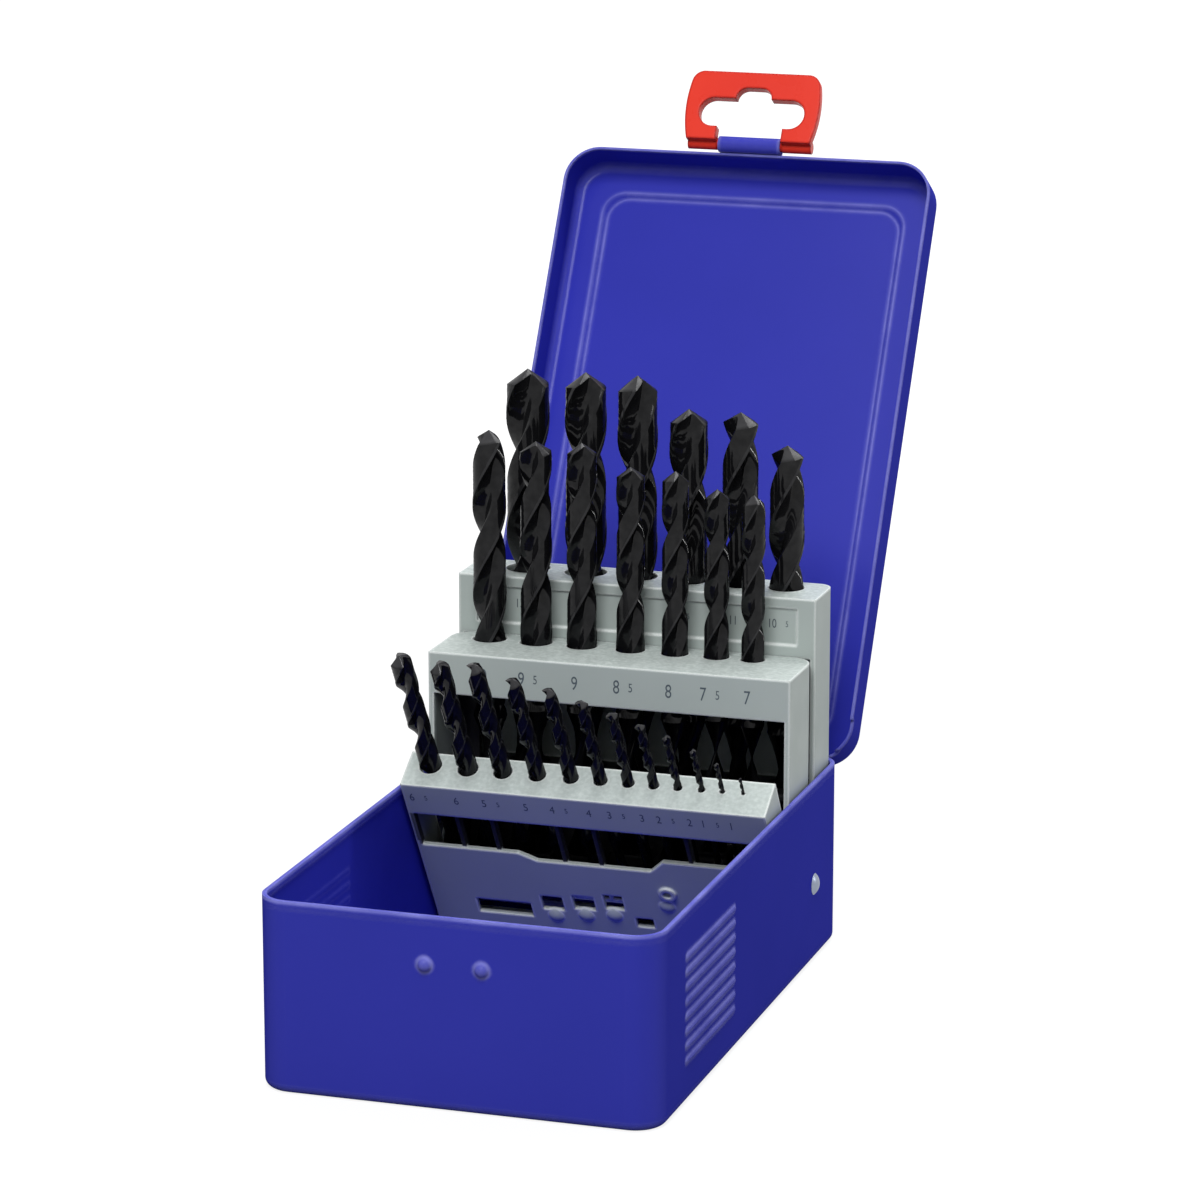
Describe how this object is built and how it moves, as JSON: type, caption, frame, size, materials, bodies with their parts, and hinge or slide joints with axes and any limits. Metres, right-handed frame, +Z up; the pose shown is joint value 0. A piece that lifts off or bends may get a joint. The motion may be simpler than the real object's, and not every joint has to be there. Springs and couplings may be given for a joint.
{
  "type": "drill bit case",
  "caption": "Sheet-steel drill bit case with hinged lid, red latch that doubles as a hanger, and fold-down plastic racks holding twist drills in size order.",
  "frame": {"origin": "centre of the tray's flat underside, on the surface the case stands on", "axes": "+Z up, +X to the right seen from the front, +Y towards the hinge and the open lid, so the front wall with the catch bumps faces -Y"},
  "size_m": [0.1184, 0.2918, 0.2436],
  "materials": {
    "blue_paint": "smooth semi-gloss enamel",
    "grey_plastic": "satin moulded plastic",
    "red_plastic": "glossy moulded plastic",
    "black_steel": "black oxide, lightly oiled",
    "zinc_steel": "zinc plated"
  },
  "bodies": {
    "tray": {"base_tray": "blue_paint", "pivot_bracket_left": "zinc_steel", "pivot_bracket_right": "zinc_steel", "side_rivets": "zinc_steel", "hinge_pin": "zinc_steel", "stack_pivot_pins": "zinc_steel", "front_pivot_pins": "zinc_steel"},
    "lid": {"lid_shell": "blue_paint"},
    "latch": {"latch": "red_plastic"},
    "rack_stack": {"rack_rear": "grey_plastic", "rack_middle": "grey_plastic", "drill_10_0": "black_steel", "drill_09_5": "black_steel", "drill_09_0": "black_steel", "drill_08_5": "black_steel", "drill_08_0": "black_steel", "drill_07_5": "black_steel", "drill_07_0": "black_steel", "drill_13_0": "black_steel", "drill_12_5": "black_steel", "drill_12_0": "black_steel", "drill_11_5": "black_steel", "drill_11_0": "black_steel", "drill_10_5": "black_steel"},
    "front_rack": {"rack_front": "grey_plastic", "drill_06_5": "black_steel", "drill_06_0": "black_steel", "drill_05_5": "black_steel", "drill_05_0": "black_steel", "drill_04_5": "black_steel", "drill_04_0": "black_steel", "drill_03_5": "black_steel", "drill_03_0": "black_steel", "drill_02_5": "black_steel", "drill_02_0": "black_steel", "drill_01_5": "black_steel", "drill_01_0": "black_steel"}
  },
  "joints": [
    {"name": "lid_hinge", "type": "hinge", "parent": "tray", "child": "lid", "pos_m": [0, 0.0944, 0.055], "axis": [1, 0, 0], "range_deg": [0, 120]},
    {"name": "latch_hinge", "type": "hinge", "parent": "lid", "child": "latch", "pos_m": [0, 0.18797, 0.22187], "axis": [1, 0, 0], "range_deg": [0, 90]},
    {"name": "rack_stack_fold", "type": "hinge", "parent": "tray", "child": "rack_stack", "pos_m": [0, 0.057, 0.0303], "axis": [1, 0, 0], "range_deg": [0, 90]},
    {"name": "front_rack_fold", "type": "hinge", "parent": "tray", "child": "front_rack", "pos_m": [0, 0.058, 0.011], "axis": [1, 0, 0], "range_deg": [0, 57]}
  ],
  "couplings": [
    {"joint": "rack_stack_fold", "follows": "lid_hinge", "ratio": 0.75},
    {"joint": "front_rack_fold", "follows": "lid_hinge", "ratio": 0.475}
  ]
}
